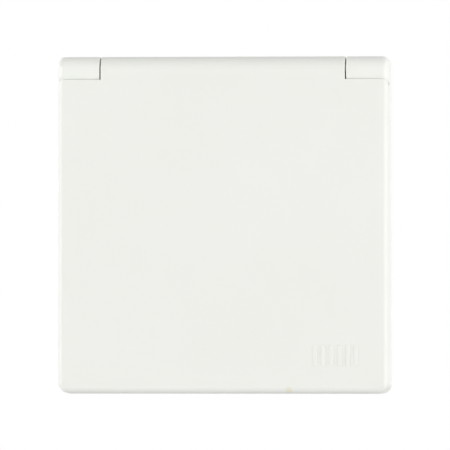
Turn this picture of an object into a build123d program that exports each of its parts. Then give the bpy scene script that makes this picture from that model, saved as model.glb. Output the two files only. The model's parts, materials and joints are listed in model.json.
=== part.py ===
from build123d import *
import os

# Flush earthed two-pin wall socket with a spring-loaded splash lid. Sizes are in millimetres.
# X runs to the right and Z up. Y runs into the wall, so the room is on the negative side.
# The origin is the socket's centre on the surface of the wall.

# cover, seen from the front
cover_width = 80.0
cover_height = 81.5
cover_depth = 17.5
corner_r = 2.5
top_corner_r = 1.5
edge_round = 1.5
knuckle_round = 1.6

# lid and hinge
lid_face_wall = 2.0
lid_side_wall = 1.6
lid_skirt_depth = 5.6
lid_bottom_reveal = 0.25
hinge_r = 3.2
knuckle_length = 10.1
hinge_slot = 0.32
slot_round = 0.2
knuckle_low_r = 2.9
knuckle_low_drop = 1.12
knuckle_gap = 0.25
shoulder_drop = 2.35
barrel_gap = 0.25
lid_gap = 0.4
seal_gap = 0.3
seal_width = 2.4
seal_rib_height = 1.2
seal_rib_wall = 1.0
rib_gap = 0.1

# relief on the lid: a plain row of low upright ribs
relief_height = 0.15
relief_round = 0.12
relief_x = 27.3
relief_z = -31.5
relief_count = 6
relief_pitch = 2.0
relief_rib_width = 1.0
relief_rib_length = 5.3

# hinge pin and lid spring
pin_r = 1.0
pin_end_wall = 2.2
pin_recess = 1.1
running_gap = 0.05
spring_coil_r = 1.55
spring_wire_r = 0.2
spring_turns = 20.25
spring_length = 12.4
spring_room = 0.25
spring_leg = 6.6
wire_hole_gap = 0.1

# frame behind the lid
frame_inset = 0.2
frame_wall = 1.8
frame_front_wall = 2.0
frame_edge_round = 0.6
wall_gap = 0.4
neck_bite = 1.0
collar_wall = 1.4
collar_back = -5.6
frame_rib_wall = 1.2
frame_rib_place = 13.0
wall_seal_depth = 3.0
wall_seal_width = 1.8
soft_gap = 0.1

# round insert with its recess
recess_r = 19.75
recess_depth = 17.5
pot_wall = 1.75
pot_floor = 2.0
pot_gap = 0.2
flange_width = 2.4
flange_wall = 1.5
guide_width = 4.8
guide_height = 2.3
guide_start = 2.5
pin_spacing = 19.0
pin_hole_r = 2.75
boss_r = 3.4
boss_length = 3.6

# centre screw and its nut
screw_r = 1.5
screw_gap = 0.15
screw_head_r = 2.7
screw_head_height = 1.5
screw_recess_gap = 0.25
screw_slot = 0.8
nut_flats = 5.5
nut_height = 2.5
nut_seat_depth = 7.0
nut_gap = 0.1

# shutter behind the pin holes
shutter_r = 13.5
shutter_wall = 2.0
shutter_gap = 0.3
shutter_window_r = 2.9
shutter_turn = 35.0
shutter_coil_r = 4.1
shutter_wire_r = 0.22
shutter_coil_pitch = 0.5
shutter_coil_height = 0.6
shutter_leg = 3.4
peg_r = 0.5

# earth strap
strap_width = 8.0
strap_wall = 0.8
arm_width = 6.0
arm_place = 18.3
arm_end = -9.0
arm_bump_r = 1.2
arm_bump_place = -5.5
arm_slot_gap = 0.4

# contacts and terminals
sleeve_r = 2.35
sleeve_wall = 0.6
sleeve_length = 10.0
sleeve_slot = 1.0
pole_pitch = 11.4
chamber_width = 10.0
chamber_bottom = -20.6
chamber_top = 4.2
earth_chamber_top = -6.0
strip_z = -9.0
strip_width = 8.8
strip_wall = 0.8
strip_end_gap = 0.3
wire_z = -12.0
wire_hole_r = 2.0
wire_pitch = 5.0
leaf_wall = 0.5
leaf_width = 8.0
leaf_bend = 1.0
leaf_front_gap = 2.0
leaf_foot_gap = 3.0
leaf_tip_gap = 4.5
leaf_tip_rise = 0.6

# release buttons
button_z = -17.1
button_width = 5.0
button_height = 3.4
button_gap = 0.2
button_proud = 2.0
button_shoulder = 0.7
button_shoulder_wall = 1.5

# base in the wall box
base_r = 27.5
base_flat = 23.0
base_depth = 27.5
base_pot_gap = 0.25
contact_cover_wall = 1.5
contact_cover_gap = 0.2
rear_plate_wall = 2.5
hollow_width = 28.0
hollow_low = 9.0
hollow_high = 19.0
hollow_floor = 2.0
rear_screw_x = 20.5
rear_screw_z = 8.0
rear_screw_r = 1.25
rear_screw_length = 12.0
rear_screw_head_r = 2.4
rear_screw_head = 1.4

# mounting ring
ring_side_gap = 0.6
ring_end_gap = 1.7
ring_wall = 1.2
ring_corner_r = 8.0
ring_pot_gap = 0.8
box_screw_spacing = 60.0
box_screw_hole_r = 1.9
rivet_place = 24.8
rivet_angle = 30.0
rivet_r = 1.0
rivet_head_r = 1.8
rivet_head = 0.8
rivet_bite = 4.0

# claws that spread in the wall box
claw_z = 25.0
claw_screw_r = 1.5
claw_head_r = 2.5
claw_head_height = 2.2
claw_head_gap = 0.7
claw_slot_width = 4.4
claw_slot_end = 2.4
claw_width = 8.0
claw_wall = 1.0
claw_start = 3.0
claw_end = 25.0
claw_tab_place = 22.6
claw_tab_wall = 1.5
claw_gap = 0.4
claw_tooth = 1.5
claw_screw_tail = 1.5

# places along Y, from the room into the wall
lid_front = -cover_depth
lid_inside = lid_front + lid_face_wall
lid_back = lid_front + lid_skirt_depth
frame_front = lid_back + lid_gap
frame_inside = frame_front + frame_front_wall
frame_back = -wall_gap
pot_front = frame_front - flange_wall
floor_front = pot_front + recess_depth
floor_back = floor_front + pot_floor
boss_back = floor_back + boss_length
shutter_front = floor_back + shutter_gap
shutter_back = shutter_front + shutter_wall
strap_front = boss_back + soft_gap
strap_back = strap_front + strap_wall
cover_back = strap_back + contact_cover_wall
rear_face = base_depth + rear_plate_wall
nut_front = cover_back + nut_seat_depth
strip_back = base_depth - strip_end_gap
leaf_front = cover_back + leaf_front_gap
leaf_tip_y = base_depth - leaf_tip_gap

# places along Z, from the top down
hinge_y = lid_front + hinge_r
hinge_z = cover_height / 2 - hinge_r
shoulder_z = hinge_z - shoulder_drop
shoulder_r = (hinge_r ** 2 + shoulder_drop ** 2) ** 0.5
lid_inner_top = hinge_z - shoulder_r - lid_side_wall
lid_bottom = -cover_height / 2 + lid_bottom_reveal
frame_top = cover_height / 2 - frame_inset
frame_bottom = -cover_height / 2
frame_mid_z = (frame_top + frame_bottom) / 2
frame_width = cover_width - 2 * frame_inset
frame_height = frame_top - frame_bottom

# outlines behind the frame: the seal fits in the frame, and the mounting ring in the seal
seal_outline_x = frame_width - 2 * frame_wall - 2 * soft_gap
seal_outline_z = frame_height - 2 * frame_wall - 2 * soft_gap
seal_opening_x = seal_outline_x - 2 * wall_seal_width
seal_opening_z = seal_outline_z - 2 * wall_seal_width
ring_width = seal_opening_x - 2 * ring_side_gap
ring_height = seal_opening_z - 2 * ring_end_gap

# places along X, and radii that follow from what they fit
knuckle_inner_x = cover_width / 2 - knuckle_length
barrel_end_x = knuckle_inner_x - hinge_slot
pin_x = pin_spacing / 2
pot_r = recess_r + pot_wall
flange_r = pot_r + flange_width
pot_hole_r = pot_r + pot_gap
seal_inner_r = recess_r + rib_gap
seal_outer_r = seal_inner_r + seal_width
cavity_r = pot_r + base_pot_gap
contact_cover_r = recess_r
arm_low = arm_place - strap_wall / 2
arm_high = arm_place + strap_wall / 2
arm_slot_low = arm_low - arm_slot_gap
arm_slot_high = arm_high + arm_slot_gap
leaf_low = chamber_bottom + leaf_wall / 2
leaf_tip_z = wire_z + leaf_tip_rise
button_top = button_z + button_height / 2
leaf_rise = (button_top - leaf_low) / (leaf_tip_z - leaf_low)
button_nose = leaf_front + (leaf_tip_y - leaf_front) * leaf_rise + leaf_wall + button_gap
poles = {"live": pole_pitch, "earth": 0.0, "neutral": -pole_pitch}


def at_depth(depth):
    """The plane parallel to the wall at a depth. Extruding from it goes towards the room."""
    return Plane.XZ.offset(-depth)


def block(x_range, y_range, z_range, mode=Mode.ADD):
    """A box between two corners, in the part that is open."""
    middle = [(low + high) / 2 for low, high in (x_range, y_range, z_range)]
    size = [high - low for low, high in (x_range, y_range, z_range)]
    with Locations(tuple(middle)):
        Box(*size, mode=mode)


def rod(x, z, radius, y_range, mode=Mode.ADD):
    """A cylinder along Y, in the part that is open."""
    low, high = y_range
    with Locations((x, (low + high) / 2, z)):
        Cylinder(radius, high - low, rotation=(90, 0, 0), mode=mode)


def hinge_rod(radius, x_range, mode=Mode.ADD):
    """A cylinder along the hinge's axis, in the part that is open."""
    low, high = x_range
    with Locations(((low + high) / 2, hinge_y, hinge_z)):
        Cylinder(radius, high - low, rotation=(0, 90, 0), mode=mode)


def straight_wire(start, direction, radius, length, bite=0.0, mode=Mode.ADD):
    """A straight length of spring wire, in the part that is open. It starts a bite behind the start."""
    way = Vector(direction)
    add(Solid.make_cylinder(radius, length + bite, Plane(origin=start - way * bite, z_dir=way)), mode=mode)


# Cover: frame with two fixed knuckles, lid, hinge pin, spring and seals

with BuildPart() as knuckle:
    # round at the top, nearly flat in front, and with a wider round below
    neck_back = frame_front + neck_bite
    low_y = lid_front + knuckle_low_r
    low_z = hinge_z - knuckle_low_drop
    with BuildSketch(Plane.YZ.offset(knuckle_inner_x)):
        with Locations((hinge_y, hinge_z)):
            Circle(hinge_r)
        with Locations((low_y, low_z)):
            Circle(knuckle_low_r)
        with Locations(((lid_front + neck_back) / 2, (low_z + hinge_z) / 2)):
            Rectangle(neck_back - lid_front, hinge_z - low_z)
        with Locations(((hinge_y + neck_back) / 2, hinge_z + hinge_r / 2)):
            Rectangle(neck_back - hinge_y, hinge_r)
        with Locations(((low_y + neck_back) / 2, low_z - knuckle_low_r / 2)):
            Rectangle(neck_back - low_y, knuckle_low_r)
    extrude(amount=knuckle_length)
    outer_end = knuckle.faces().sort_by(Axis.X)[-1]
    fillet(outer_end.edges().sort_by(Axis.Y)[:-1], knuckle_round)
    inner_end = knuckle.faces().sort_by(Axis.X)[0]
    fillet(inner_end.edges().sort_by(Axis.Y)[:-1], slot_round)
    # underneath it follows the hollow in the lid's upper edge, a small gap away
    with BuildSketch(Plane.YZ.offset(knuckle_inner_x)):
        with Locations(((lid_front + neck_back) / 2, hinge_z - shoulder_r)):
            Rectangle(neck_back - lid_front, 2 * shoulder_r)
        with Locations((hinge_y, hinge_z)):
            Circle(shoulder_r - knuckle_gap, mode=Mode.SUBTRACT)
    extrude(amount=knuckle_length, mode=Mode.SUBTRACT)

with BuildPart() as cover_frame:
    with BuildSketch(at_depth(frame_back)) as frame_outline:
        with Locations((0, frame_mid_z)):
            Rectangle(frame_width, frame_height)
        fillet(frame_outline.vertices().group_by(Axis.Y)[0], corner_r - frame_inset)
        fillet(frame_outline.vertices().group_by(Axis.Y)[-1], top_corner_r)
    extrude(amount=frame_back - frame_front)
    front_face = cover_frame.faces().sort_by(Axis.Y)[0]
    fillet(front_face.edges(), frame_edge_round)
    with BuildSketch(at_depth(frame_back)):
        with Locations((0, frame_mid_z)):
            Rectangle(frame_width - 2 * frame_wall, frame_height - 2 * frame_wall)
    extrude(amount=frame_back - frame_inside, mode=Mode.SUBTRACT)
    # collar round the insert, and ribs from it to the walls
    rod(0, 0, pot_hole_r + collar_wall, (frame_inside, collar_back))
    rib_y = (frame_inside, -wall_seal_depth)
    across_x = (-frame_width / 2 + frame_wall, frame_width / 2 - frame_wall)
    across_z = (frame_bottom + frame_wall, frame_top - frame_wall)
    for place in (-frame_rib_place, frame_rib_place):
        rib = (place - frame_rib_wall / 2, place + frame_rib_wall / 2)
        block(rib, rib_y, across_z)
        block(across_x, rib_y, rib)
    rod(0, 0, pot_hole_r + collar_wall, (collar_back, frame_back), mode=Mode.SUBTRACT)
    rod(0, 0, pot_hole_r, (frame_front, frame_back), mode=Mode.SUBTRACT)
    # trough for the back of the lid's barrel
    hinge_rod(hinge_r + barrel_gap, (-knuckle_inner_x, knuckle_inner_x), mode=Mode.SUBTRACT)
    add(knuckle.part)
    mirror(knuckle.part, about=Plane.YZ)
    # the hole for the hinge pin is open at the left end and blind at the right
    hinge_rod(pin_r, (-cover_width / 2, cover_width / 2 - pin_end_wall), mode=Mode.SUBTRACT)
cover_frame.part.label = "cover_frame"

with BuildLine() as lid_coil:
    Helix(
        spring_length / spring_turns, spring_length, spring_coil_r,
        center=(-spring_length / 2, hinge_y, hinge_z), direction=(1, 0, 0), lefthand=True
    )
lid_coil_end = (lid_coil.line @ 1, lid_coil.line % 1)

with BuildPart() as lid_barrel:
    # its front is tangent to the lid's face
    with BuildSketch(Plane.YZ.offset(-barrel_end_x)):
        with Locations((hinge_y, hinge_z)):
            Circle(hinge_r)
        with Locations(((lid_front + lid_inside) / 2, (lid_inner_top + hinge_z) / 2)):
            Rectangle(lid_face_wall, hinge_z - lid_inner_top)
    extrude(amount=2 * barrel_end_x)
    for end in (lid_barrel.faces().sort_by(Axis.X)[0], lid_barrel.faces().sort_by(Axis.X)[-1]):
        fillet(end.edges().sort_by(Axis.Y)[0], slot_round)

with BuildPart() as lid_relief:
    with BuildSketch(at_depth(lid_front)):
        with Locations((relief_x, relief_z)):
            with GridLocations(relief_pitch, relief_pitch, relief_count, 1):
                SlotOverall(relief_rib_length, relief_rib_width, rotation=90)
    extrude(amount=relief_height)
    fillet(lid_relief.faces().group_by(Axis.Y)[0].edges(), relief_round)

with BuildPart() as lid:
    with BuildSketch(at_depth(lid_back)) as lid_outline:
        with Locations((0, (lid_bottom + shoulder_z) / 2)):
            Rectangle(cover_width, shoulder_z - lid_bottom)
        fillet(lid_outline.vertices().group_by(Axis.Y)[0], corner_r)
    extrude(amount=lid_skirt_depth)
    # the face's side and bottom edges are rounded, its top edges at the knuckles are crisp
    front_face = lid.faces().sort_by(Axis.Y)[0]
    fillet(front_face.edges().sort_by(Axis.Z)[:-1], edge_round)
    with BuildSketch(at_depth(lid_back)):
        with Locations((0, (lid_bottom + lid_side_wall + lid_inner_top) / 2)):
            Rectangle(cover_width - 2 * lid_side_wall, lid_inner_top - lid_bottom - lid_side_wall)
    extrude(amount=lid_back - lid_inside, mode=Mode.SUBTRACT)
    # the upper edge is hollowed round the knuckles, and the barrel stands between them
    hinge_rod(shoulder_r, (-cover_width / 2, cover_width / 2), mode=Mode.SUBTRACT)
    add(lid_barrel.part)
    hinge_rod(pin_r + running_gap, (-barrel_end_x, barrel_end_x), mode=Mode.SUBTRACT)
    # pocket for the spring, open at the back, with a hole for the spring's leg
    pocket_r = spring_coil_r + spring_wire_r + spring_room
    pocket_x = spring_length / 2 + spring_wire_r + spring_room
    hinge_rod(pocket_r, (-pocket_x, pocket_x), mode=Mode.SUBTRACT)
    window_y = (hinge_y + spring_coil_r - spring_wire_r - spring_room, hinge_y + hinge_r)
    block((-pocket_x, pocket_x), window_y, (hinge_z - hinge_r, hinge_z + pocket_r), mode=Mode.SUBTRACT)
    straight_wire(*lid_coil_end, spring_wire_r + wire_hole_gap, spring_leg, mode=Mode.SUBTRACT)
    # two low ribs that hold the seal
    with BuildSketch(at_depth(lid_inside + seal_rib_height)):
        Circle(seal_outer_r + rib_gap + seal_rib_wall)
        Circle(seal_outer_r + rib_gap, mode=Mode.SUBTRACT)
        Circle(seal_inner_r - rib_gap)
        Circle(seal_inner_r - rib_gap - seal_rib_wall, mode=Mode.SUBTRACT)
    extrude(amount=seal_rib_height)
    add(lid_relief.part)
lid.part.label = "lid"

with BuildPart() as lid_seal:
    with BuildSketch(at_depth(pot_front - seal_gap)):
        Circle(seal_outer_r)
        Circle(seal_inner_r, mode=Mode.SUBTRACT)
    extrude(amount=pot_front - seal_gap - lid_inside)
lid_seal.part.label = "lid_seal"

with BuildPart() as hinge_pin:
    hinge_rod(pin_r, (-cover_width / 2 + pin_recess, cover_width / 2 - pin_end_wall))
    with Locations((-spring_length / 2, hinge_y, hinge_z)):
        Cylinder(spring_wire_r + wire_hole_gap, 2 * hinge_r, mode=Mode.SUBTRACT)
hinge_pin.part.label = "hinge_pin"

with BuildPart() as lid_spring:
    with BuildSketch(Plane(origin=lid_coil.line @ 0, z_dir=lid_coil.line % 0)):
        Circle(spring_wire_r)
    sweep(path=lid_coil.line, is_frenet=True)
    # one end is bent into the pin, the other goes down through the lid's upper wall
    straight_wire(lid_coil.line @ 0, (0, 0, -1), spring_wire_r, spring_coil_r, bite=spring_wire_r)
    straight_wire(*lid_coil_end, spring_wire_r, spring_leg)
lid_spring.part.label = "lid_spring"

with BuildPart() as wall_seal:
    with BuildSketch(at_depth(0)):
        with Locations((0, frame_mid_z)):
            Rectangle(seal_outline_x, seal_outline_z)
            Rectangle(seal_opening_x, seal_opening_z, mode=Mode.SUBTRACT)
    extrude(amount=wall_seal_depth)
wall_seal.part.label = "wall_seal"

# Insert: recess with guides, pin holes and slots for the earth arms

with BuildPart() as socket_pot:
    with BuildSketch(Plane.XY):
        with BuildLine():
            Polyline(
                (0, floor_front),
                (recess_r, floor_front),
                (recess_r, pot_front),
                (flange_r, pot_front),
                (flange_r, frame_front),
                (pot_r, frame_front),
                (pot_r, floor_back),
                (boss_r, floor_back),
                (boss_r, boss_back),
                (0, boss_back),
                close=True,
            )
        make_face()
    revolve(axis=Axis.Y)
    rim_edges = socket_pot.edges().filter_by(GeomType.CIRCLE).group_by(Axis.Y)[0]
    fillet(rim_edges, flange_wall / 3)
    for side in (-1, 1):
        guide_x = sorted((side * (recess_r - guide_height), side * (recess_r + pot_wall / 2)))
        block(guide_x, (pot_front + guide_start, floor_front), (-guide_width / 2, guide_width / 2))
        rod(side * pin_x, 0, pin_hole_r, (floor_front, floor_back), mode=Mode.SUBTRACT)
        slot_z = sorted((side * arm_slot_low, side * arm_slot_high))
        slot_half = arm_width / 2 + arm_slot_gap
        block((-slot_half, slot_half), (floor_front, floor_back), slot_z, mode=Mode.SUBTRACT)
    rod(0, 0, screw_r + screw_gap, (floor_front, boss_back), mode=Mode.SUBTRACT)
    head_room_r = screw_head_r + screw_recess_gap
    rod(0, 0, head_room_r, (floor_front, floor_front + screw_head_height), mode=Mode.SUBTRACT)
socket_pot.part.label = "socket_pot"

with BuildPart() as centre_screw:
    head_back = floor_front + screw_head_height
    rod(0, 0, screw_head_r, (floor_front, head_back))
    rod(0, 0, screw_r, (head_back, nut_front + nut_height))
    driver_y = (floor_front, floor_front + screw_slot)
    block((-screw_head_r, screw_head_r), driver_y, (-screw_slot / 2, screw_slot / 2), mode=Mode.SUBTRACT)
centre_screw.part.label = "centre_screw"

with BuildPart() as centre_nut:
    with BuildSketch(at_depth(nut_front + nut_height)):
        RegularPolygon(nut_flats / 2, 6, major_radius=False)
        Circle(screw_r, mode=Mode.SUBTRACT)
    extrude(amount=nut_height)
centre_nut.part.label = "centre_nut"

# Shutter: a disc that turns on the insert's boss, and its spring

with BuildPart() as shutter_spring:
    coil_y = shutter_back + soft_gap + shutter_wire_r
    with BuildLine() as shutter_coil:
        Helix(
            shutter_coil_pitch, shutter_coil_height, shutter_coil_r,
            center=(0, coil_y, 0), direction=(0, 1, 0)
        )
    with BuildSketch(Plane(origin=shutter_coil.line @ 0, z_dir=shutter_coil.line % 0)):
        Circle(shutter_wire_r)
    sweep(is_frenet=True)
    straight_wire(shutter_coil.line @ 0, (-1, 0, 0), shutter_wire_r, shutter_leg)
    fixed_leg = Vector((shutter_coil.line % 1).X, 0, (shutter_coil.line % 1).Z).normalized()
    straight_wire(shutter_coil.line @ 1, fixed_leg, shutter_wire_r, shutter_leg)
    # the two pegs stand just outside the ends of the legs
    peg_offset = shutter_wire_r + soft_gap + peg_r
    rotor_peg_x = -shutter_leg + peg_r
    rotor_peg_z = shutter_coil_r + peg_offset
    cover_peg = shutter_coil.line @ 1 + fixed_leg * (shutter_leg - peg_r)
    cover_peg_x = cover_peg.X - fixed_leg.Z * peg_offset
    cover_peg_z = cover_peg.Z + fixed_leg.X * peg_offset
shutter_spring.part.label = "shutter_spring"

with BuildPart() as shutter_rotor:
    with BuildSketch(at_depth(shutter_back)):
        Circle(shutter_r)
        Circle(boss_r + running_gap, mode=Mode.SUBTRACT)
        with PolarLocations(pin_x, 2, start_angle=-shutter_turn):
            Circle(shutter_window_r, mode=Mode.SUBTRACT)
    extrude(amount=shutter_wall)
    rod(rotor_peg_x, rotor_peg_z, peg_r, (shutter_back, coil_y + shutter_wire_r + soft_gap))
shutter_rotor.part.label = "shutter_rotor"

# Conducting parts

with BuildPart() as earth_strap:
    block((-strap_width / 2, strap_width / 2), (strap_front, strap_back), (-arm_high, arm_high))
    for side in (-1, 1):
        arm_z = sorted((side * arm_low, side * arm_high))
        block((-arm_width / 2, arm_width / 2), (arm_end, strap_back), arm_z)
        with Locations((0, arm_bump_place, side * arm_low)):
            Cylinder(arm_bump_r, arm_width, rotation=(0, 90, 0))
        outside_y = (arm_end, arm_bump_place + arm_bump_r)
        outside_z = sorted((side * arm_high, side * (arm_high + arm_bump_r)))
        block((-arm_width / 2, arm_width / 2), outside_y, outside_z, mode=Mode.SUBTRACT)
    tab_z = (strip_z - strip_wall / 2, strip_z + strip_wall / 2)
    block((-strap_width / 2, strap_width / 2), (strap_front, strip_back), tab_z)
    rod(0, 0, screw_r + screw_gap, (strap_front, strap_back), mode=Mode.SUBTRACT)
earth_strap.part.label = "earth_strap"


def plug_contact(side):
    """A split sleeve round one pin hole, with a web down to the strip of its terminal."""
    with BuildPart() as contact:
        sleeve_x = side * pin_x
        sleeve_out = sleeve_r + sleeve_wall
        rod(sleeve_x, 0, sleeve_out, (cover_back, cover_back + sleeve_length))
        web_x = sorted((side * (pin_x + sleeve_r), side * (pin_x + sleeve_r + strip_wall)))
        block(web_x, (cover_back, cover_back + sleeve_length), (strip_z, 0))
        rod(sleeve_x, 0, sleeve_r, (cover_back, cover_back + sleeve_length), mode=Mode.SUBTRACT)
        slot_x = (sleeve_x - sleeve_slot / 2, sleeve_x + sleeve_slot / 2)
        block(slot_x, (cover_back, cover_back + sleeve_length), (0, sleeve_out), mode=Mode.SUBTRACT)
        strip_x = (side * pole_pitch - strip_width / 2, side * pole_pitch + strip_width / 2)
        block(strip_x, (cover_back, strip_back), (strip_z - strip_wall / 2, strip_z + strip_wall / 2))
    return contact.part


live_contact = plug_contact(1)
live_contact.label = "live_contact"
neutral_contact = plug_contact(-1)
neutral_contact.label = "neutral_contact"


def clamp_spring(pole_x):
    """A bent leaf that lies on the chamber's floor and presses the wires up against the strip."""
    with BuildPart() as spring:
        with BuildSketch(Plane.YZ.offset(pole_x - leaf_width / 2)):
            with BuildLine():
                FilletPolyline(
                    (base_depth - leaf_foot_gap, leaf_low), (leaf_front, leaf_low), (leaf_tip_y, leaf_tip_z),
                    radius=leaf_bend
                )
            trace(line_width=leaf_wall)
        extrude(amount=leaf_width)
    return spring.part


def release_button(pole_x):
    """A push button that sticks out of the rear plate and bends the clamp spring."""
    shoulder_y = (base_depth - soft_gap - button_shoulder_wall, base_depth - soft_gap)
    half_x = button_width / 2
    half_z = button_height / 2
    with BuildPart() as button:
        block((pole_x - half_x, pole_x + half_x), (button_nose, rear_face + button_proud),
              (button_z - half_z, button_z + half_z))
        block((pole_x - half_x - button_shoulder, pole_x + half_x + button_shoulder), shoulder_y,
              (button_z - half_z, button_z + half_z))
        rear_edges = button.faces().sort_by(Axis.Y)[-1].edges()
        fillet(rear_edges, button_gap)
    return button.part


# Base in the wall box, its covers and fasteners


def base_outline(depth):
    """The round outline with two flats, as a sketch on the plane at a depth."""
    with BuildSketch(at_depth(depth)) as outline:
        Circle(base_r)
        Rectangle(2 * base_r, 2 * base_flat, mode=Mode.INTERSECT)
    return outline.sketch


rivet_spots = [
    Vector(sign * rivet_place, 0).rotate(Axis.Z, angle)
    for sign in (-1, 1)
    for angle in (-rivet_angle, rivet_angle)
]

with BuildPart() as base_body:
    extrude(base_outline(base_depth), amount=base_depth)
    # steps for the insert and for the contact cover
    rod(0, 0, cavity_r, (0, floor_back + soft_gap), mode=Mode.SUBTRACT)
    rod(0, 0, contact_cover_r + contact_cover_gap, (floor_back, cover_back), mode=Mode.SUBTRACT)
    # chambers of the three poles, open at both ends
    for name, pole_x in poles.items():
        top = earth_chamber_top if name == "earth" else chamber_top
        chamber_x = (pole_x - chamber_width / 2, pole_x + chamber_width / 2)
        block(chamber_x, (cover_back, base_depth), (chamber_bottom, top), mode=Mode.SUBTRACT)
    hollow_y = (cover_back + hollow_floor, base_depth)
    block((-hollow_width / 2, hollow_width / 2), hollow_y, (hollow_low, hollow_high), mode=Mode.SUBTRACT)
    # screw hole and nut pocket on the centre line
    rod(0, 0, screw_r + screw_gap, (cover_back, base_depth), mode=Mode.SUBTRACT)
    with BuildSketch(at_depth(base_depth)):
        RegularPolygon(nut_flats / 2 + nut_gap, 6, major_radius=False)
    extrude(amount=base_depth - nut_front, mode=Mode.SUBTRACT)
    for side in (-1, 1):
        screw_y = (rear_face - rear_screw_length, base_depth)
        rod(side * rear_screw_x, rear_screw_z, rear_screw_r, screw_y, mode=Mode.SUBTRACT)
    for spot in rivet_spots:
        rod(spot.X, spot.Y, rivet_r, (0, rivet_bite), mode=Mode.SUBTRACT)
base_body.part.label = "base_body"

with BuildPart() as contact_cover:
    rod(0, 0, contact_cover_r, (strap_back, cover_back))
    rod(cover_peg_x, cover_peg_z, peg_r, (shutter_back + 2 * soft_gap, strap_back))
    for side in (-1, 1):
        rod(side * pin_x, 0, pin_hole_r, (strap_back, cover_back), mode=Mode.SUBTRACT)
    rod(0, 0, screw_r + screw_gap, (strap_back, cover_back), mode=Mode.SUBTRACT)
    tab_half_x = strap_width / 2 + soft_gap
    tab_half_z = strip_wall / 2 + soft_gap
    block((-tab_half_x, tab_half_x), (strap_back, cover_back), (strip_z - tab_half_z, strip_z + tab_half_z),
          mode=Mode.SUBTRACT)
contact_cover.part.label = "contact_cover"

with BuildPart() as rear_plate:
    extrude(base_outline(rear_face), amount=rear_plate_wall)
    for pole_x in poles.values():
        for offset in (-wire_pitch / 2, wire_pitch / 2):
            rod(pole_x + offset, wire_z, wire_hole_r, (base_depth, rear_face), mode=Mode.SUBTRACT)
        window_half_x = button_width / 2 + button_gap
        window_half_z = button_height / 2 + button_gap
        block((pole_x - window_half_x, pole_x + window_half_x), (base_depth, rear_face),
              (button_z - window_half_z, button_z + window_half_z), mode=Mode.SUBTRACT)
    for side in (-1, 1):
        rod(side * rear_screw_x, rear_screw_z, rear_screw_r, (base_depth, rear_face), mode=Mode.SUBTRACT)
rear_plate.part.label = "rear_plate"

with BuildPart() as rear_plate_screws:
    for side in (-1, 1):
        rod(side * rear_screw_x, rear_screw_z, rear_screw_r, (rear_face - rear_screw_length, rear_face))
        rod(side * rear_screw_x, rear_screw_z, rear_screw_head_r, (rear_face, rear_face + rear_screw_head))
        slot_x = (side * rear_screw_x - rear_screw_head_r, side * rear_screw_x + rear_screw_head_r)
        slot_y = (rear_face + rear_screw_head / 2, rear_face + rear_screw_head)
        slot_z = (rear_screw_z - screw_slot / 2, rear_screw_z + screw_slot / 2)
        block(slot_x, slot_y, slot_z, mode=Mode.SUBTRACT)
rear_plate_screws.part.label = "rear_plate_screws"

with BuildPart() as mounting_ring:
    with BuildSketch(at_depth(0)):
        RectangleRounded(ring_width, ring_height, ring_corner_r)
        Circle(pot_r + ring_pot_gap, mode=Mode.SUBTRACT)
        Rectangle(claw_slot_width, 2 * (claw_z + claw_slot_end), mode=Mode.SUBTRACT)
        with GridLocations(box_screw_spacing, 1, 2, 1):
            Circle(box_screw_hole_r, mode=Mode.SUBTRACT)
        with Locations(*rivet_spots):
            Circle(rivet_r, mode=Mode.SUBTRACT)
    extrude(amount=ring_wall)
mounting_ring.part.label = "mounting_ring"

with BuildPart() as ring_rivets:
    for spot in rivet_spots:
        rod(spot.X, spot.Y, rivet_r, (-ring_wall, rivet_bite))
        rod(spot.X, spot.Y, rivet_head_r, (-ring_wall - rivet_head, -ring_wall))
ring_rivets.part.label = "ring_rivets"

with BuildPart() as claw_screw_top:
    head_back_y = -ring_wall - claw_head_gap
    head_front_y = head_back_y - claw_head_height
    rod(0, claw_z, claw_head_r, (head_front_y, head_back_y))
    rod(0, claw_z, claw_screw_r, (head_back_y, claw_end + claw_screw_tail))
    block((-claw_head_r, claw_head_r), (head_front_y, head_front_y + screw_slot),
          (claw_z - screw_slot / 2, claw_z + screw_slot / 2), mode=Mode.SUBTRACT)
claw_screw_top.part.label = "claw_screw_top"

with BuildPart() as claw_top:
    plate_low = claw_z + claw_screw_r + claw_gap * 2
    plate_high = plate_low + claw_wall
    block((-claw_width / 2, claw_width / 2), (claw_start, claw_end), (plate_low, plate_high))
    block((-claw_width / 2, claw_width / 2), (claw_tab_place, claw_tab_place + claw_tab_wall),
          (base_flat + claw_gap, plate_high))
    # teeth along the rear end
    with BuildSketch(Plane.YZ.offset(-claw_width / 2)):
        with BuildLine():
            Polyline((claw_end - 2 * claw_tooth, plate_high), (claw_end, plate_high),
                     (claw_end, plate_high + claw_tooth), close=True)
        make_face()
    extrude(amount=claw_width)
    for gap_x in (-claw_width / 5, claw_width / 5):
        block((gap_x - claw_wall / 2, gap_x + claw_wall / 2), (claw_tab_place, claw_end),
              (plate_high, plate_high + claw_tooth), mode=Mode.SUBTRACT)
    rod(0, claw_z, claw_screw_r, (claw_tab_place, claw_tab_place + claw_tab_wall), mode=Mode.SUBTRACT)
claw_top.part.label = "claw_top"

with BuildPart() as claw_screw_bottom:
    mirror(claw_screw_top.part, about=Plane.XY)
claw_screw_bottom.part.label = "claw_screw_bottom"

with BuildPart() as claw_bottom:
    mirror(claw_top.part, about=Plane.XY)
claw_bottom.part.label = "claw_bottom"

# Every piece is written to its own file

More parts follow.
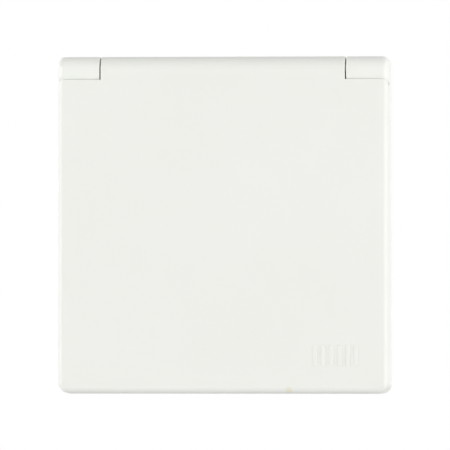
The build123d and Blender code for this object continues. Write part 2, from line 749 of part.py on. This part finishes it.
pieces = [
    cover_frame.part, lid.part, lid_seal.part, hinge_pin.part, lid_spring.part, wall_seal.part,
    socket_pot.part, centre_screw.part, centre_nut.part, shutter_rotor.part, shutter_spring.part,
    earth_strap.part, live_contact, neutral_contact, base_body.part, contact_cover.part,
    rear_plate.part, rear_plate_screws.part, mounting_ring.part, ring_rivets.part,
    claw_screw_top.part, claw_top.part, claw_screw_bottom.part, claw_bottom.part,
]
for name, pole_x in poles.items():
    leaf = clamp_spring(pole_x)
    leaf.label = name + "_clamp_spring"
    button = release_button(pole_x)
    button.label = name + "_release_button"
    pieces += [leaf, button]

os.makedirs("parts", exist_ok=True)
for piece in pieces:
    export_step(piece, "parts/" + piece.label + ".step")
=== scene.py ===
import json
import math

import bmesh
import bpy
from mathutils import Matrix, Vector


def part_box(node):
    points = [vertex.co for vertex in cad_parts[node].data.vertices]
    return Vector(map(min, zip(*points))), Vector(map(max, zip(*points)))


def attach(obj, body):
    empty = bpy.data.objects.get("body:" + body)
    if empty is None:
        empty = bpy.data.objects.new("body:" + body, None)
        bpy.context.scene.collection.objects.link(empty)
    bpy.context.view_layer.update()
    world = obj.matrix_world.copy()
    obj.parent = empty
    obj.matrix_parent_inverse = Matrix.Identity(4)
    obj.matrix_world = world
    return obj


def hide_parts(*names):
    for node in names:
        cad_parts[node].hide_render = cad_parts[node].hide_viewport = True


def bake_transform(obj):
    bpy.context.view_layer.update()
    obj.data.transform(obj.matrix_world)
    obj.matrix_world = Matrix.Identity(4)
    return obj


# Looks of a flush wall socket with a hinged splash lid. Lengths are in metres, as in the frame.

MM = 0.001
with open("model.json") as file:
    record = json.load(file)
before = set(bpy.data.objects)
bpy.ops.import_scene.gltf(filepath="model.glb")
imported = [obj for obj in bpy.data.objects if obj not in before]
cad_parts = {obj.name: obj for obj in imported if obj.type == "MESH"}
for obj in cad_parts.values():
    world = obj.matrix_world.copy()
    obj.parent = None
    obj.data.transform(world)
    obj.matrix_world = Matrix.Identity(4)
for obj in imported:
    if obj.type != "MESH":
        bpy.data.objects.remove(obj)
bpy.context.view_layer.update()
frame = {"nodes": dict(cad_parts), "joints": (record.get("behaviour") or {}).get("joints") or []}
nodes = frame["nodes"]


def joint_of(name):
    """The frame's joint of that name."""
    return next(joint for joint in frame["joints"] if joint["name"] == name)


# Camera: the photograph is taken from almost straight ahead, with a long lens

PHOTO_SIZE = 450
SENSOR_WIDTH = 36.0
PIXELS_PER_MM = 4.125
CAMERA_DISTANCE = 1.880
CAMERA_YAW = 4.93
CAMERA_PITCH = -0.66
CAMERA_AIM = Vector((-0.12 * MM, -9.0 * MM, 0.12 * MM))
NEAREST_SEEN = 0.05
FARTHEST_SEEN = 50.0


def add_camera():
    """The camera that looks from the photograph's place."""
    yaw = math.radians(CAMERA_YAW)
    pitch = math.radians(CAMERA_PITCH)
    away = Vector((math.sin(yaw) * math.cos(pitch), -math.cos(yaw) * math.cos(pitch), math.sin(pitch)))
    data = bpy.data.cameras.new("camera")
    data.sensor_width = SENSOR_WIDTH
    data.lens = SENSOR_WIDTH * PIXELS_PER_MM * (CAMERA_DISTANCE / MM) / PHOTO_SIZE
    data.clip_start = NEAREST_SEEN
    data.clip_end = FARTHEST_SEEN
    camera = bpy.data.objects.new("camera", data)
    bpy.context.scene.collection.objects.link(camera)
    camera.location = CAMERA_AIM + away * CAMERA_DISTANCE
    camera.rotation_euler = (-away).to_track_quat("-Z", "Y").to_euler()
    bpy.context.scene.camera = camera


# Light: two large soft boxes far round the sides, and a pale room

def add_area(name, place, target, size, power):
    """An upright soft box at a place, turned towards a target."""
    data = bpy.data.lights.new(name, "AREA")
    data.shape = "RECTANGLE"
    data.size = size[0]
    data.size_y = size[1]
    data.energy = power
    lamp = bpy.data.objects.new(name, data)
    bpy.context.scene.collection.objects.link(lamp)
    lamp.location = place
    lamp.rotation_euler = (Vector(target) - Vector(place)).to_track_quat("-Z", "Y").to_euler()


ROOM_LIGHT = 0.735
CEILING_SHARE = 0.56
CEILING_START = 0.0
CEILING_END = 0.75
BOX_ANGLE = 64.0
BOX_DISTANCE = 1.3
BOX_HEIGHT = 0.1
BOX_SIZE = (0.5, 0.9)
LEFT_POWER = 8.0
RIGHT_POWER = 8.4


def add_lights():
    """The soft boxes, and a world that is white where it is seen and a dimmer room where it lights."""
    side = BOX_DISTANCE * math.sin(math.radians(BOX_ANGLE))
    front = -BOX_DISTANCE * math.cos(math.radians(BOX_ANGLE))
    add_area("left_box", (-side, front, BOX_HEIGHT), CAMERA_AIM, BOX_SIZE, LEFT_POWER)
    add_area("right_box", (side, front, BOX_HEIGHT), CAMERA_AIM, BOX_SIZE, RIGHT_POWER)
    world = bpy.data.worlds.new("room")
    bpy.context.scene.world = world
    world.use_nodes = True
    tree = world.node_tree
    tree.nodes.clear()
    path = tree.nodes.new("ShaderNodeLightPath")
    direct = tree.nodes.new("ShaderNodeMath")
    direct.operation = "MAXIMUM"
    tree.links.new(path.outputs["Is Camera Ray"], direct.inputs[0])
    tree.links.new(path.outputs["Is Transmission Ray"], direct.inputs[1])
    seen = tree.nodes.new("ShaderNodeMath")
    seen.operation = "MAXIMUM"
    tree.links.new(direct.outputs[0], seen.inputs[0])
    tree.links.new(path.outputs["Is Glossy Ray"], seen.inputs[1])
    strength = tree.nodes.new("ShaderNodeMapRange")
    # the room is darker towards the ceiling
    where = tree.nodes.new("ShaderNodeTexCoord")
    height = tree.nodes.new("ShaderNodeSeparateXYZ")
    tree.links.new(where.outputs["Generated"], height.inputs[0])
    ceiling_light = ROOM_LIGHT * CEILING_SHARE
    room = spread(tree, height.outputs["Z"], ROOM_LIGHT, ceiling_light, CEILING_START, CEILING_END)
    tree.links.new(room, strength.inputs["To Min"])
    strength.inputs["To Max"].default_value = 1.0
    tree.links.new(seen.outputs[0], strength.inputs["Value"])
    background = tree.nodes.new("ShaderNodeBackground")
    background.inputs["Color"].default_value = (1.0, 1.0, 1.0, 1.0)
    tree.links.new(strength.outputs["Result"], background.inputs["Strength"])
    output = tree.nodes.new("ShaderNodeOutputWorld")
    tree.links.new(background.outputs[0], output.inputs["Surface"])


FLOOR_DROP = 0.3
FLOOR_HALF = 4.0
FLOOR_COLOUR = (0.9, 0.9, 0.9, 1.0)
FLOOR_ROUGHNESS = 0.9
FLOOR_GLOW = 1.45
FLOOR_GLOW_SHARE = 0.5


def add_floor():
    """A pale floor below the socket. It looks nearly white to the camera, and keeps its shadows."""
    mesh = bpy.data.meshes.new("floor")
    signs = [(-1, -1), (1, -1), (1, 1), (-1, 1)]
    points = [(x * FLOOR_HALF, y * FLOOR_HALF, -FLOOR_DROP) for x, y in signs]
    mesh.from_pydata(points, [], [(0, 1, 2, 3)])
    floor = bpy.data.objects.new("floor", mesh)
    bpy.context.scene.collection.objects.link(floor)
    material, tree, shader = new_material("floor")
    shader.inputs["Base Color"].default_value = FLOOR_COLOUR
    shader.inputs["Roughness"].default_value = FLOOR_ROUGHNESS
    glow = tree.nodes.new("ShaderNodeEmission")
    glow.inputs["Strength"].default_value = FLOOR_GLOW
    path = tree.nodes.new("ShaderNodeLightPath")
    share = spread(tree, path.outputs["Is Camera Ray"], 0.0, FLOOR_GLOW_SHARE, 0.0, 1.0)
    mix = tree.nodes.new("ShaderNodeMixShader")
    tree.links.new(share, mix.inputs[0])
    tree.links.new(shader.outputs[0], mix.inputs[1])
    tree.links.new(glow.outputs[0], mix.inputs[2])
    tree.links.new(mix.outputs[0], tree.nodes["Material Output"].inputs["Surface"])
    mesh.materials.append(material)


# Materials

def new_material(name):
    """A new node material, its tree and its shader."""
    material = bpy.data.materials.new(name)
    material.use_nodes = True
    return material, material.node_tree, material.node_tree.nodes["Principled BSDF"]


def object_coordinates(tree, scale=(1.0, 1.0, 1.0)):
    """Coordinates fixed to the piece, in metres times a scale."""
    where = tree.nodes.new("ShaderNodeTexCoord")
    mapping = tree.nodes.new("ShaderNodeMapping")
    mapping.inputs["Scale"].default_value = scale
    tree.links.new(where.outputs["Object"], mapping.inputs["Vector"])
    return mapping.outputs["Vector"]


def noise(tree, vector, scale, detail=3.0, roughness=0.55):
    """A noise texture's value."""
    texture = tree.nodes.new("ShaderNodeTexNoise")
    texture.inputs["Scale"].default_value = scale
    texture.inputs["Detail"].default_value = detail
    texture.inputs["Roughness"].default_value = roughness
    tree.links.new(vector, texture.inputs["Vector"])
    return texture.outputs["Fac"]


def spread(tree, value, low, high, start=0.3, end=0.7):
    """A value from low to high, as the input goes from start to end."""
    change = tree.nodes.new("ShaderNodeMapRange")
    change.inputs["From Min"].default_value = start
    change.inputs["From Max"].default_value = end
    change.inputs["To Min"].default_value = low
    change.inputs["To Max"].default_value = high
    tree.links.new(value, change.inputs["Value"])
    return change.outputs["Result"]


def blend_colours(tree, value, first, second):
    """A colour between two, by a value from 0 to 1."""
    mix = tree.nodes.new("ShaderNodeMix")
    mix.data_type = "RGBA"
    tree.links.new(value, mix.inputs["Factor"])
    for socket, colour in ((mix.inputs["A"], first), (mix.inputs["B"], second)):
        if isinstance(colour, tuple):
            socket.default_value = (*colour, 1.0)
        else:
            tree.links.new(colour, socket)
    return mix.outputs["Result"]


def add_bump(tree, shader, height, distance, strength=1.0, before=None):
    """A bump on the shader's normal, over another bump if one is given."""
    bump = tree.nodes.new("ShaderNodeBump")
    bump.inputs["Strength"].default_value = strength
    bump.inputs["Distance"].default_value = distance
    tree.links.new(height, bump.inputs["Height"])
    if before is not None:
        tree.links.new(before, bump.inputs["Normal"])
    tree.links.new(bump.outputs["Normal"], shader.inputs["Normal"])
    return bump.outputs["Normal"]


def moulded_plastic(name, colour, shade, roughness, grain=0.02 * MM):
    """Moulded plastic: faint flow variations, a fine grain, and gloss that varies a little.

    It gives the material, its tree, its shader and the colour's output.
    """
    material, tree, shader = new_material(name)
    vector = object_coordinates(tree)
    flow = noise(tree, vector, 38.0, detail=2.0)
    result = blend_colours(tree, spread(tree, flow, 0.0, 1.0), shade, colour)
    tree.links.new(result, shader.inputs["Base Color"])
    haze = noise(tree, vector, 160.0)
    tree.links.new(spread(tree, haze, roughness - 0.03, roughness + 0.04), shader.inputs["Roughness"])
    wave = add_bump(tree, shader, noise(tree, vector, 55.0, detail=1.0), 0.04 * MM)
    add_bump(tree, shader, noise(tree, vector, 9000.0, detail=1.0), grain, 0.25, before=wave)
    shader.inputs["IOR"].default_value = 1.5
    return material, tree, shader, result


STAIN_PLACE = (16.0 * MM, -16.9 * MM, -39.65 * MM)
STAIN_SIZE = 1.1 * MM
STAIN_COLOUR = (0.80, 0.70, 0.42)
STAIN_STRENGTH = 0.55
STAIN_CORE = 0.2


def stained_plastic(name, colour, shade, roughness):
    """The lid's plastic, with the faint yellow speck on its lower edge."""
    material, tree, shader, result = moulded_plastic(name, colour, shade, roughness)
    where = tree.nodes.new("ShaderNodeTexCoord")
    distance = tree.nodes.new("ShaderNodeVectorMath")
    distance.operation = "DISTANCE"
    distance.inputs[1].default_value = STAIN_PLACE
    tree.links.new(where.outputs["Object"], distance.inputs[0])
    core = STAIN_CORE * STAIN_SIZE
    near = spread(tree, distance.outputs["Value"], STAIN_STRENGTH, 0.0, core, STAIN_SIZE)
    stained = blend_colours(tree, near, result, STAIN_COLOUR)
    tree.links.new(stained, shader.inputs["Base Color"])
    return material


def brushed_metal(name, colour, tint, roughness, stretch, grain=0.01 * MM):
    """Rolled or turned metal: streaks along one way, and a faint second tint."""
    material, tree, shader = new_material(name)
    shader.inputs["Metallic"].default_value = 1.0
    vector = object_coordinates(tree)
    streaks = noise(tree, object_coordinates(tree, stretch), 600.0, detail=4.0)
    patches = noise(tree, vector, 70.0, detail=2.0)
    mixed = blend_colours(tree, spread(tree, patches, 0.0, 1.0), colour, tint)
    tree.links.new(mixed, shader.inputs["Base Color"])
    tree.links.new(spread(tree, streaks, roughness - 0.08, roughness + 0.1), shader.inputs["Roughness"])
    add_bump(tree, shader, streaks, grain, 0.4)
    return material


def rubber(name, colour, dusty):
    """Soft seal rubber: matt, with a bloom of dust and a fine pitted skin."""
    material, tree, shader = new_material(name)
    vector = object_coordinates(tree)
    bloom = noise(tree, vector, 220.0, detail=5.0)
    mixed = blend_colours(tree, spread(tree, bloom, 0.0, 1.0), colour, dusty)
    tree.links.new(mixed, shader.inputs["Base Color"])
    tree.links.new(spread(tree, bloom, 0.62, 0.8), shader.inputs["Roughness"])
    add_bump(tree, shader, noise(tree, vector, 5000.0, detail=2.0), 0.02 * MM, 0.5)
    return material


def paint(names, material):
    """Gives the named CAD nodes a material."""
    for name in names:
        for holder in nodes[name].material_slots:
            holder.material = material


WHITE = (0.875, 0.885, 0.842)
WHITE_SHADE = (0.862, 0.872, 0.825)
FRAME_WHITE = (0.900, 0.910, 0.867)
FRAME_SHADE = (0.887, 0.897, 0.850)
WHITE_ROUGHNESS = 0.36
NO_STRETCH = (1.0, 1.0, 1.0)

lid_white = stained_plastic("lid_white", WHITE, WHITE_SHADE, WHITE_ROUGHNESS)
cover_white = moulded_plastic("cover_white", FRAME_WHITE, FRAME_SHADE, WHITE_ROUGHNESS)[0]
insert_white = moulded_plastic("insert_white", (0.86, 0.87, 0.82), (0.84, 0.85, 0.80), 0.42)[0]
base_grey = moulded_plastic("base_grey", (0.62, 0.62, 0.58), (0.56, 0.56, 0.53), 0.55, 0.04 * MM)[0]
cover_grey = moulded_plastic("cover_grey", (0.68, 0.68, 0.64), (0.63, 0.63, 0.60), 0.5, 0.03 * MM)[0]
shutter_grey = moulded_plastic("shutter_grey", (0.12, 0.13, 0.14), (0.10, 0.11, 0.12), 0.5)[0]
button_orange = moulded_plastic("button_orange", (0.75, 0.17, 0.02), (0.68, 0.14, 0.02), 0.42)[0]
seal_grey = rubber("seal_grey", (0.030, 0.030, 0.032), (0.060, 0.060, 0.060))
zinc = brushed_metal("zinc", (0.66, 0.67, 0.66), (0.60, 0.60, 0.55), 0.38, (0.15, 1.0, 1.0))
screw_zinc = brushed_metal("screw_zinc", (0.70, 0.69, 0.64), (0.62, 0.60, 0.50), 0.3, NO_STRETCH)
spring_bright = brushed_metal("spring_bright", (0.58, 0.58, 0.60), (0.50, 0.50, 0.52), 0.25, NO_STRETCH)
contact_brass = brushed_metal("contact_brass", (0.80, 0.58, 0.25), (0.70, 0.48, 0.20), 0.3, (1.0, 0.2, 1.0))

paint(["lid"], lid_white)
paint(["cover_frame"], cover_white)
paint(["socket_pot"], insert_white)
paint(["base_body"], base_grey)
paint(["rear_plate", "contact_cover"], cover_grey)
paint(["shutter_rotor"], shutter_grey)
paint(["live_release_button", "neutral_release_button", "earth_release_button"], button_orange)
paint(["lid_seal", "wall_seal"], seal_grey)
paint(["mounting_ring", "claw_top", "claw_bottom"], zinc)
paint(["centre_screw", "centre_nut", "claw_screw_top", "claw_screw_bottom", "rear_plate_screws",
       "ring_rivets", "hinge_pin"], screw_zinc)
paint(["lid_spring", "shutter_spring", "live_clamp_spring", "neutral_clamp_spring",
       "earth_clamp_spring"], spring_bright)
paint(["live_contact", "neutral_contact", "earth_strap"], contact_brass)


# Pieces: turned, swept and cut shapes

SHARP_ANGLE = 35.0
TURNED_SIDES = 48
SKIN_STEPS = 16


def new_piece(name, shape, material, body):
    """A piece from a bmesh, with its material, that rides on a body."""
    mesh = bpy.data.meshes.new(name)
    bmesh.ops.recalc_face_normals(shape, faces=shape.faces)
    shape.to_mesh(mesh)
    shape.free()
    mesh.materials.append(material)
    mesh.shade_smooth()
    mesh.set_sharp_from_angle(angle=math.radians(SHARP_ANGLE))
    piece = bpy.data.objects.new(name, mesh)
    bpy.context.scene.collection.objects.link(piece)
    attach(piece, body)
    return piece


def add_strip(shape, first, second):
    """Faces between two rings of points, either of which may be a single point."""
    count = max(len(first), len(second))
    for place in range(count):
        after = (place + 1) % count
        corners = [first[place % len(first)], first[after % len(first)],
                   second[after % len(second)], second[place % len(second)]]
        shape.faces.new(list(dict.fromkeys(corners)))


def turned(shape, centre, profile, closed=False, sides=TURNED_SIDES):
    """Turns a profile of (radius, y) points round an axis along Y. A closed profile makes a ring."""
    x, z = centre
    rings = []
    for radius, y in profile:
        angles = [math.tau * side / sides for side in range(sides)] if radius > 0 else [0.0]
        rings.append([shape.verts.new((x + radius * math.cos(angle), y, z + radius * math.sin(angle)))
                      for angle in angles])
    for first, second in zip(rings, rings[1:]):
        add_strip(shape, first, second)
    if closed:
        add_strip(shape, rings[-1], rings[0])


def tube(shape, line, radius, sides=10):
    """A round wire along a line of points, with flat ends."""
    rings = []
    across = None
    for place, point in enumerate(line):
        way = (line[min(place + 1, len(line) - 1)] - line[max(place - 1, 0)]).normalized()
        if across is None:
            across = way.orthogonal().normalized()
        across = (across - way * across.dot(way)).normalized()
        other = way.cross(across)
        rings.append([shape.verts.new(point + radius * (across * math.cos(angle) + other * math.sin(angle)))
                      for angle in (math.tau * side / sides for side in range(sides))])
    for first, second in zip(rings, rings[1:]):
        add_strip(shape, first, second)
    shape.faces.new(rings[0])
    shape.faces.new(rings[-1])


def cut_slot(shape, middle, size):
    """Cuts a box out of a closed shape, as a screwdriver slot."""
    cutter = bmesh.new()
    bmesh.ops.create_cube(cutter, size=1.0)
    placed = Matrix.Translation(middle) @ Matrix.Diagonal((*size, 1.0))
    bmesh.ops.transform(cutter, matrix=placed, verts=cutter.verts)
    bmesh.ops.recalc_face_normals(shape, faces=shape.faces)
    objects = []
    for source in (shape, cutter):
        mesh = bpy.data.meshes.new("cut")
        source.to_mesh(mesh)
        source.free()
        objects.append(bpy.data.objects.new("cut", mesh))
        bpy.context.scene.collection.objects.link(objects[-1])
    body, tool = objects
    change = body.modifiers.new("slot", "BOOLEAN")
    change.operation = "DIFFERENCE"
    change.solver = "EXACT"
    change.object = tool
    bpy.context.view_layer.update()
    result = bmesh.new()
    result.from_object(body, bpy.context.evaluated_depsgraph_get())
    for used in objects:
        bpy.data.meshes.remove(used.data)
    return result


def two_lips(share):
    """Height of a seal's skin across its width, from 0 to 1: two lips with a groove between them."""
    return 0.35 + 0.65 * abs(math.sin(math.tau * share)) ** 0.6


def screw_head(radius, seat, top, slot_width, slot_depth, centre, shank_radius, shank_end):
    """A domed, slotted screw head on a plain shank. Seat, top and shank end are places along Y."""
    x, z = centre
    height = top - seat
    rim = seat + 0.45 * height
    shape = bmesh.new()
    dome = [(radius * math.cos(turn), rim + (top - rim) * math.sin(turn))
            for turn in (math.radians(15 * step) for step in range(7))]
    dome[-1] = (0.0, top)
    bevel = 0.12 * radius
    profile = [(0.0, shank_end), (shank_radius, shank_end), (shank_radius, seat),
               (radius - bevel, seat), (radius, seat + 0.12 * height)] + dome
    turned(shape, centre, profile)
    depth_middle = top - math.copysign(slot_depth / 2, height)
    return cut_slot(shape, (x, depth_middle, z), (3 * radius, slot_depth * 1.02, slot_width))


def thread(shape, centre, radius, depth, pitch, y_range, sides=24, steps=8):
    """A threaded rod along Y: its radius rises and falls along a helix, and runs out at both ends."""
    x, z = centre
    start, end = y_range
    count = int(round((end - start) / pitch * steps))
    rings = []
    for row in range(count + 1):
        y = start + (end - start) * row / count
        near_end = min(y - start, end - y, pitch) / pitch
        ring = []
        for side in range(sides):
            turn = side / sides
            phase = (y / pitch - turn) % 1.0
            ridge = min(1.0, 1.25 * abs(2 * phase - 1))
            here = radius - depth * (1 - ridge * near_end)
            ring.append(shape.verts.new((x + here * math.cos(math.tau * turn), y,
                                         z + here * math.sin(math.tau * turn))))
        rings.append(ring)
    for first, second in zip(rings, rings[1:]):
        add_strip(shape, first, second)
    shape.faces.new(rings[0])
    shape.faces.new(rings[-1])


CLAW_SCREW_R = 1.5 * MM
CLAW_HEAD_HEIGHT = 2.2 * MM
THREAD_PITCH = 0.5 * MM
THREAD_DEPTH = 0.28 * MM
CLAW_NECK = 2.5 * MM
SLOT_WIDTH = 0.8 * MM
SLOT_DEPTH = 1.0 * MM


def add_claw_screw(place):
    """A claw's long screw: a slotted head in the ring and a thread down through the claw."""
    low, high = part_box("claw_screw_" + place)
    centre = ((low[0] + high[0]) / 2, (low[2] + high[2]) / 2)
    radius = (high[0] - low[0]) / 2
    seat = low[1] + CLAW_HEAD_HEIGHT
    neck_end = seat + CLAW_NECK
    shape = screw_head(radius, seat, low[1], SLOT_WIDTH, SLOT_DEPTH, centre,
                       CLAW_SCREW_R - THREAD_DEPTH, neck_end)
    thread(shape, centre, CLAW_SCREW_R, THREAD_DEPTH, THREAD_PITCH, (neck_end, high[1]))
    name = "threaded_claw_screw_" + place
    piece = new_piece(name, shape, screw_zinc, "claw_" + place + "_set")
    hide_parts("claw_screw_" + place)


REAR_HEAD_HEIGHT = 1.4 * MM
REAR_SCREW_R = 1.25 * MM
REAR_SLOT_DEPTH = 0.7 * MM


def add_rear_screws():
    """The two screws that hold the rear plate, with domed slotted heads."""
    low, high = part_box("rear_plate_screws")
    radius = (high[2] - low[2]) / 2
    z = (low[2] + high[2]) / 2
    whole = bmesh.new()
    for x in (low[0] + radius, high[0] - radius):
        head = screw_head(radius, high[1] - REAR_HEAD_HEIGHT, high[1], SLOT_WIDTH, REAR_SLOT_DEPTH,
                          (x, z), REAR_SCREW_R, low[1])
        mesh = bpy.data.meshes.new("head")
        head.to_mesh(mesh)
        head.free()
        whole.from_mesh(mesh)
        bpy.data.meshes.remove(mesh)
    piece = new_piece("slotted_rear_screws", whole, screw_zinc, "base")
    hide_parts("rear_plate_screws")


RIVET_R = 1.0 * MM
RIVET_HEAD = 0.8 * MM
RIVET_HEAD_R = 1.8 * MM


def add_rivets():
    """Four rivets with domed heads that hold the ring on the base."""
    low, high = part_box("ring_rivets")
    shape = bmesh.new()
    seat = low[1] + RIVET_HEAD
    dome = [(RIVET_HEAD_R * math.cos(turn), seat - RIVET_HEAD * math.sin(turn))
            for turn in (math.radians(15 * step) for step in range(7))]
    dome[-1] = (0.0, low[1])
    for x in (low[0] + RIVET_HEAD_R, high[0] - RIVET_HEAD_R):
        for z in (low[2] + RIVET_HEAD_R, high[2] - RIVET_HEAD_R):
            turned(shape, (x, z), [(0.0, high[1]), (RIVET_R, high[1]), (RIVET_R, seat)] + dome)
    piece = new_piece("domed_rivets", shape, screw_zinc, "base")
    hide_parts("ring_rivets")


LID_SEAL_WIDTH = 2.4 * MM
LID_SEAL_SIDES = 128


def add_lid_seal():
    """The rubber ring in the lid, with two lips towards the insert's rim."""
    low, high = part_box("lid_seal")
    outer = (high[0] - low[0]) / 2
    inner = outer - LID_SEAL_WIDTH
    profile = [(inner, low[1])]
    for step in range(SKIN_STEPS + 1):
        share = step / SKIN_STEPS
        profile.append((inner + (outer - inner) * share, low[1] + (high[1] - low[1]) * two_lips(share)))
    profile.append((outer, low[1]))
    shape = bmesh.new()
    turned(shape, (0.0, 0.0), profile, closed=True, sides=LID_SEAL_SIDES)
    piece = new_piece("lipped_lid_seal", shape, seal_grey, "lid")
    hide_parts("lid_seal")


WALL_SEAL_WIDTH = 1.8 * MM
WALL_SEAL_LIP = 0.7 * MM


def add_wall_seal():
    """The rubber frame behind the cover, with two lips towards the wall."""
    low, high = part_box("wall_seal")
    skin_low = high[1] - WALL_SEAL_LIP
    profile = [(0.0, low[1])]
    for step in range(SKIN_STEPS + 1):
        share = step / SKIN_STEPS
        profile.append((WALL_SEAL_WIDTH * share, skin_low + WALL_SEAL_LIP * two_lips(share)))
    profile.append((WALL_SEAL_WIDTH, low[1]))
    shape = bmesh.new()
    rings = []
    for inset, y in profile:
        edges = (low[0] + inset, high[0] - inset, low[2] + inset, high[2] - inset)
        rings.append([shape.verts.new((edges[across], y, edges[2 + up]))
                      for across, up in ((0, 0), (1, 0), (1, 1), (0, 1))])
    for first, second in zip(rings, rings[1:] + rings[:1]):
        add_strip(shape, first, second)
    piece = new_piece("lipped_wall_seal", shape, seal_grey, "base")
    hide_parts("wall_seal")


SPRING_WIRE_R = 0.2 * MM
SPRING_LENGTH = 12.4 * MM
SPRING_TURNS = 20.25
SPRING_LEG = 6.6 * MM
POINTS_PER_TURN = 24


def add_lid_spring():
    """The lid's spring: its coil stays with the frame, and its long leg goes with the lid."""
    low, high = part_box("lid_spring")
    axis_y, axis_z = joint_of("lid_hinge")["pos_m"][1:]
    coil_r = high[1] - axis_y - SPRING_WIRE_R
    start = -SPRING_LENGTH / 2
    count = int(SPRING_TURNS * POINTS_PER_TURN)
    coil = []
    for step in range(count + 1):
        share = step / count
        turn = math.tau * SPRING_TURNS * share
        coil.append(Vector((start + SPRING_LENGTH * share, axis_y + coil_r * math.sin(turn),
                            axis_z + coil_r * math.cos(turn))))
    shape = bmesh.new()
    tube(shape, coil, SPRING_WIRE_R)
    tube(shape, [coil[0], coil[0] - Vector((0, 0, coil_r))], SPRING_WIRE_R)
    piece = new_piece("lid_spring_coil", shape, spring_bright, "base")
    way = (coil[-1] - coil[-2]).normalized()
    shape = bmesh.new()
    tube(shape, [coil[-2], coil[-1], coil[-1] + way * SPRING_LEG], SPRING_WIRE_R)
    new_piece("lid_spring_leg", shape, spring_bright, "lid")
    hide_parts("lid_spring")


LEAF_FOOT = 1.2 * MM
LEAF_STEPS = 14


def add_clamp_leaf(pole):
    """A terminal's leaf spring, cut into bands from just above its foot up to the top of the button."""
    node = pole + "_clamp_spring"
    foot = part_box(node)[0][2] + LEAF_FOOT
    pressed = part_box(pole + "_release_button")[1][2]
    shape = bmesh.new()
    shape.from_mesh(nodes[node].data)
    for step in range(LEAF_STEPS + 1):
        place = (0.0, 0.0, foot + (pressed - foot) * step / LEAF_STEPS)
        everything = shape.verts[:] + shape.edges[:] + shape.faces[:]
        bmesh.ops.bisect_plane(shape, geom=everything, plane_co=place, plane_no=(0.0, 0.0, 1.0))
    mesh = bpy.data.meshes.new(node)
    shape.to_mesh(mesh)
    shape.free()
    piece = bpy.data.objects.new("bending_" + pole + "_leaf", mesh)
    bpy.context.scene.collection.objects.link(piece)
    mesh.materials.clear()
    mesh.materials.append(spring_bright)
    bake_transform(piece)
    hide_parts(node)


MARK_R = 2.0 * MM
MARK_WIDTH = 0.16 * MM
MARK_HEIGHT = 0.07 * MM
MARK_PLACES = [(side * 31.0 * MM, z * MM) for side in (-1, 1) for z in (-33.0, 27.0)]
MARK_PLACES.append((0.0, -33.0 * MM))


def add_ejector_marks():
    """The rings that the mould's ejector pins leave inside the lid."""
    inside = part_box("lid_seal")[0][1]
    profile = [(MARK_R - MARK_WIDTH, inside - MARK_HEIGHT),
               (MARK_R - MARK_WIDTH / 2, inside + MARK_HEIGHT),
               (MARK_R + MARK_WIDTH / 2, inside + MARK_HEIGHT),
               (MARK_R + MARK_WIDTH, inside - MARK_HEIGHT)]
    shape = bmesh.new()
    for centre in MARK_PLACES:
        turned(shape, centre, profile, closed=True)
    new_piece("ejector_marks", shape, lid_white, "lid")


SYMBOL_TOP = -3.4 * MM
SYMBOL_STEM = 2.2 * MM
SYMBOL_LINE = 0.45 * MM
SYMBOL_BARS = (4.2 * MM, 2.7 * MM, 1.2 * MM)
SYMBOL_STEP = 0.95 * MM
SYMBOL_HEIGHT = 0.25 * MM
SYMBOL_TAPER = 0.12 * MM


def add_earth_symbol():
    """The plain earth sign, raised on the rear plate above the earth wires' holes."""
    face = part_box("rear_plate")[1][1]
    shape = bmesh.new()
    stem_end = SYMBOL_TOP - SYMBOL_STEM
    strokes = [(SYMBOL_LINE, SYMBOL_TOP, stem_end - SYMBOL_LINE)]
    strokes += [(width, stem_end - row * SYMBOL_STEP, stem_end - row * SYMBOL_STEP - SYMBOL_LINE)
                for row, width in enumerate(SYMBOL_BARS)]
    for width, top, bottom in strokes:
        rings = []
        for inset, y in ((0.0, face - SYMBOL_HEIGHT), (0.0, face + SYMBOL_HEIGHT - SYMBOL_TAPER),
                         (SYMBOL_TAPER, face + SYMBOL_HEIGHT)):
            rings.append([shape.verts.new((side * (width / 2 - inset), y, z)) for side, z in
                          ((-1, bottom + inset), (1, bottom + inset), (1, top - inset), (-1, top - inset))])
        for first, second in zip(rings, rings[1:]):
            add_strip(shape, first, second)
        shape.faces.new(rings[0])
        shape.faces.new(rings[-1])
    new_piece("earth_symbol", shape, cover_grey, "base")


add_claw_screw("top")
add_claw_screw("bottom")
add_rear_screws()
add_rivets()
add_lid_seal()
add_wall_seal()
add_lid_spring()
for pole in ("live", "neutral", "earth"):
    add_clamp_leaf(pole)
add_ejector_marks()
add_earth_symbol()

add_camera()
add_lights()
add_floor()
bpy.context.scene.view_settings.view_transform = "Standard"


def corners(box):
    """A box as plain lists of numbers."""
    return [list(corner) for corner in box]
